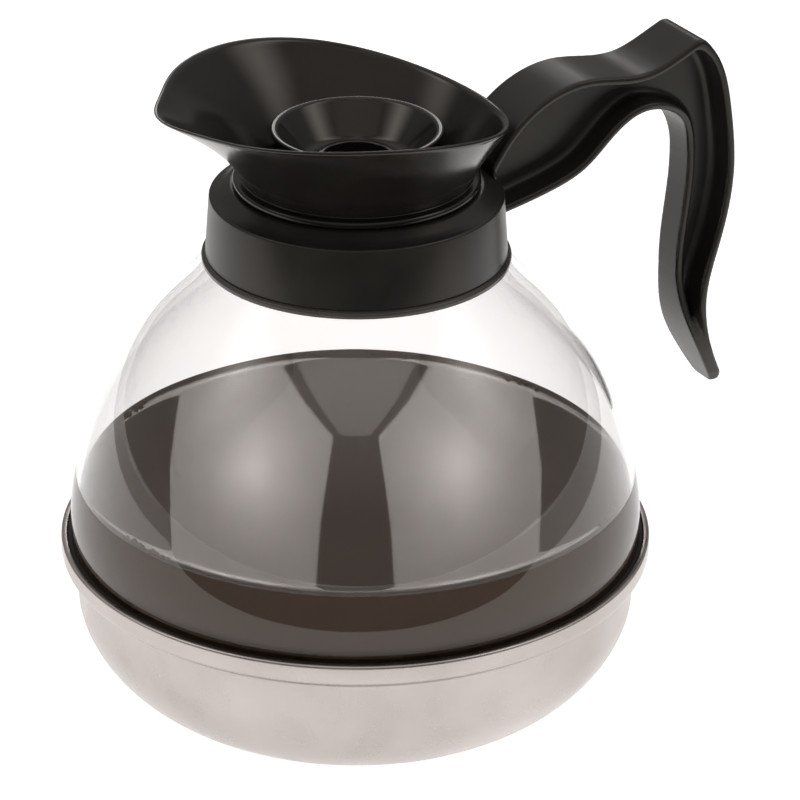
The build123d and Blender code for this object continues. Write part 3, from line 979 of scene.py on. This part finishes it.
def add_room():
    """A dim room, a little lighter overhead."""
    world = bpy.data.worlds.new("room")
    world.use_nodes = True
    tree = world.node_tree
    direction = tree.nodes.new("ShaderNodeTexCoord")
    parts = tree.nodes.new("ShaderNodeSeparateXYZ")
    spread = tree.nodes.new("ShaderNodeMapRange")
    spread.inputs["From Min"].default_value = 0.3
    spread.inputs["From Max"].default_value = 1.0
    spread.inputs["To Min"].default_value = ROOM_LIGHT
    spread.inputs["To Max"].default_value = CEILING_LIGHT
    tree.links.new(direction.outputs["Generated"], parts.inputs["Vector"])
    tree.links.new(parts.outputs["Z"], spread.inputs["Value"])
    background = tree.nodes["Background"]
    background.inputs["Color"].default_value = LAMP_COLOUR
    tree.links.new(spread.outputs["Result"], background.inputs["Strength"])
    bpy.context.scene.world = world


def add_floor():
    """A wide pale floor."""
    mesh = bpy.data.meshes.new("floor")
    mesh.from_pydata([(x * FLOOR_REACH, y * FLOOR_REACH, 0) for x, y in SQUARE], [], [(0, 1, 2, 3)])
    mesh.materials.append(floor_material())
    floor = bpy.data.objects.new("floor", mesh)
    bpy.context.scene.collection.objects.link(floor)


def add_lamps():
    """Two tall banks at the sides, and behind the object two soft boxes with a wedge between them."""
    for name, side in (("left", -1), ("right", 1)):
        bank = glow_material(name + "_bank", (0.5, 0.9), 0.25, 3.2)
        add_glow(bank, (side * BANK_PLACE[0], *BANK_PLACE[1:]), BANK_TARGET, BANK_CORNERS)
        box = glow_material(name + "_back_box", (0.075, 0.10), 2.9, 8.0)
        start = (side * BOX_PLACE[0], *BOX_PLACE[1:])
        add_glow(box, start, (start[0], 0, start[2]), [(-right * side, up) for right, up in BOX_CORNERS])
    wedge = glow_material("back_wedge", (1, 1), 1.3, 1.3)
    add_glow(wedge, WEDGE_PLACE, (0, 0, WEDGE_PLACE[2]), WEDGE_CORNERS)


def add_studio():
    """The room, the floor, the lamps and the dark surround."""
    add_room()
    add_floor()
    add_lamps()
    add_surround()
    bpy.context.scene.view_settings.view_transform = "Standard"


# ---------------------------------------------------------------- assembly


def place(piece, body, slot, *nodes):
    """Let a piece ride on a body and stand for CAD nodes."""
    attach(piece, body)
    if nodes:
        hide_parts(*nodes)


def paint_node(name, material):
    """Give a carried-over CAD node its material."""
    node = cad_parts[name]
    for slot in node.material_slots:
        slot.material = material
    node.data.shade_smooth()
    node.data.set_sharp_from_angle(angle=math.radians(35))


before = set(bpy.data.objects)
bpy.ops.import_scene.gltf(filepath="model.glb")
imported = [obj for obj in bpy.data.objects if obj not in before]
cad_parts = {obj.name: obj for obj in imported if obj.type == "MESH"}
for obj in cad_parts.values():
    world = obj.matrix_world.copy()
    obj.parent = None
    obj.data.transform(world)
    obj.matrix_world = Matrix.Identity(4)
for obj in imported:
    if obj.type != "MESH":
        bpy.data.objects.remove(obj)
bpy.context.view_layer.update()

satin = plastic(
    "black_satin_plastic", (0.013, 0.0115, 0.0095), (0.021, 0.019, 0.016), (0.28, 0.36), 1400.0, 0.00002,
    shine=0.42)
gloss = plastic(
    "black_gloss_plastic", (0.007, 0.006, 0.005), (0.012, 0.0105, 0.009), (0.12, 0.20), 160.0, 0.00003)
rubber = plastic(
    "black_rubber", (0.012, 0.012, 0.012), (0.02, 0.02, 0.02), (0.5, 0.65), 900.0, 0.00004)
silicone = plastic(
    "grey_silicone", (0.045, 0.040, 0.037), (0.065, 0.058, 0.053), (0.22, 0.30), 700.0, 0.00002)

place(make_base_pan(steel_material()), "decanter", "steel", "base_pan")
place(make_bowl(clear_material()), "decanter", "clear", "bowl")
place(make_coffee(coffee_material()), "decanter", None)
place(make_bubbles(bubble_material()), "decanter", None)
place(make_collar(satin), "decanter", "black_satin", "handle_ring")
place(make_handle(satin), "decanter", "black_satin", "handle_ring")
place(make_bead(silicone), "decanter", "rubber", "shoulder_seal")
place(make_funnel(gloss), "funnel_body", "black_gloss", "funnel")
place(make_cup(gloss), "cup_body", "black_gloss", "brew_cup")
for name in ("base_gasket", "neck_seal", "funnel_ring"):
    paint_node(name, rubber)

add_camera()
add_studio()
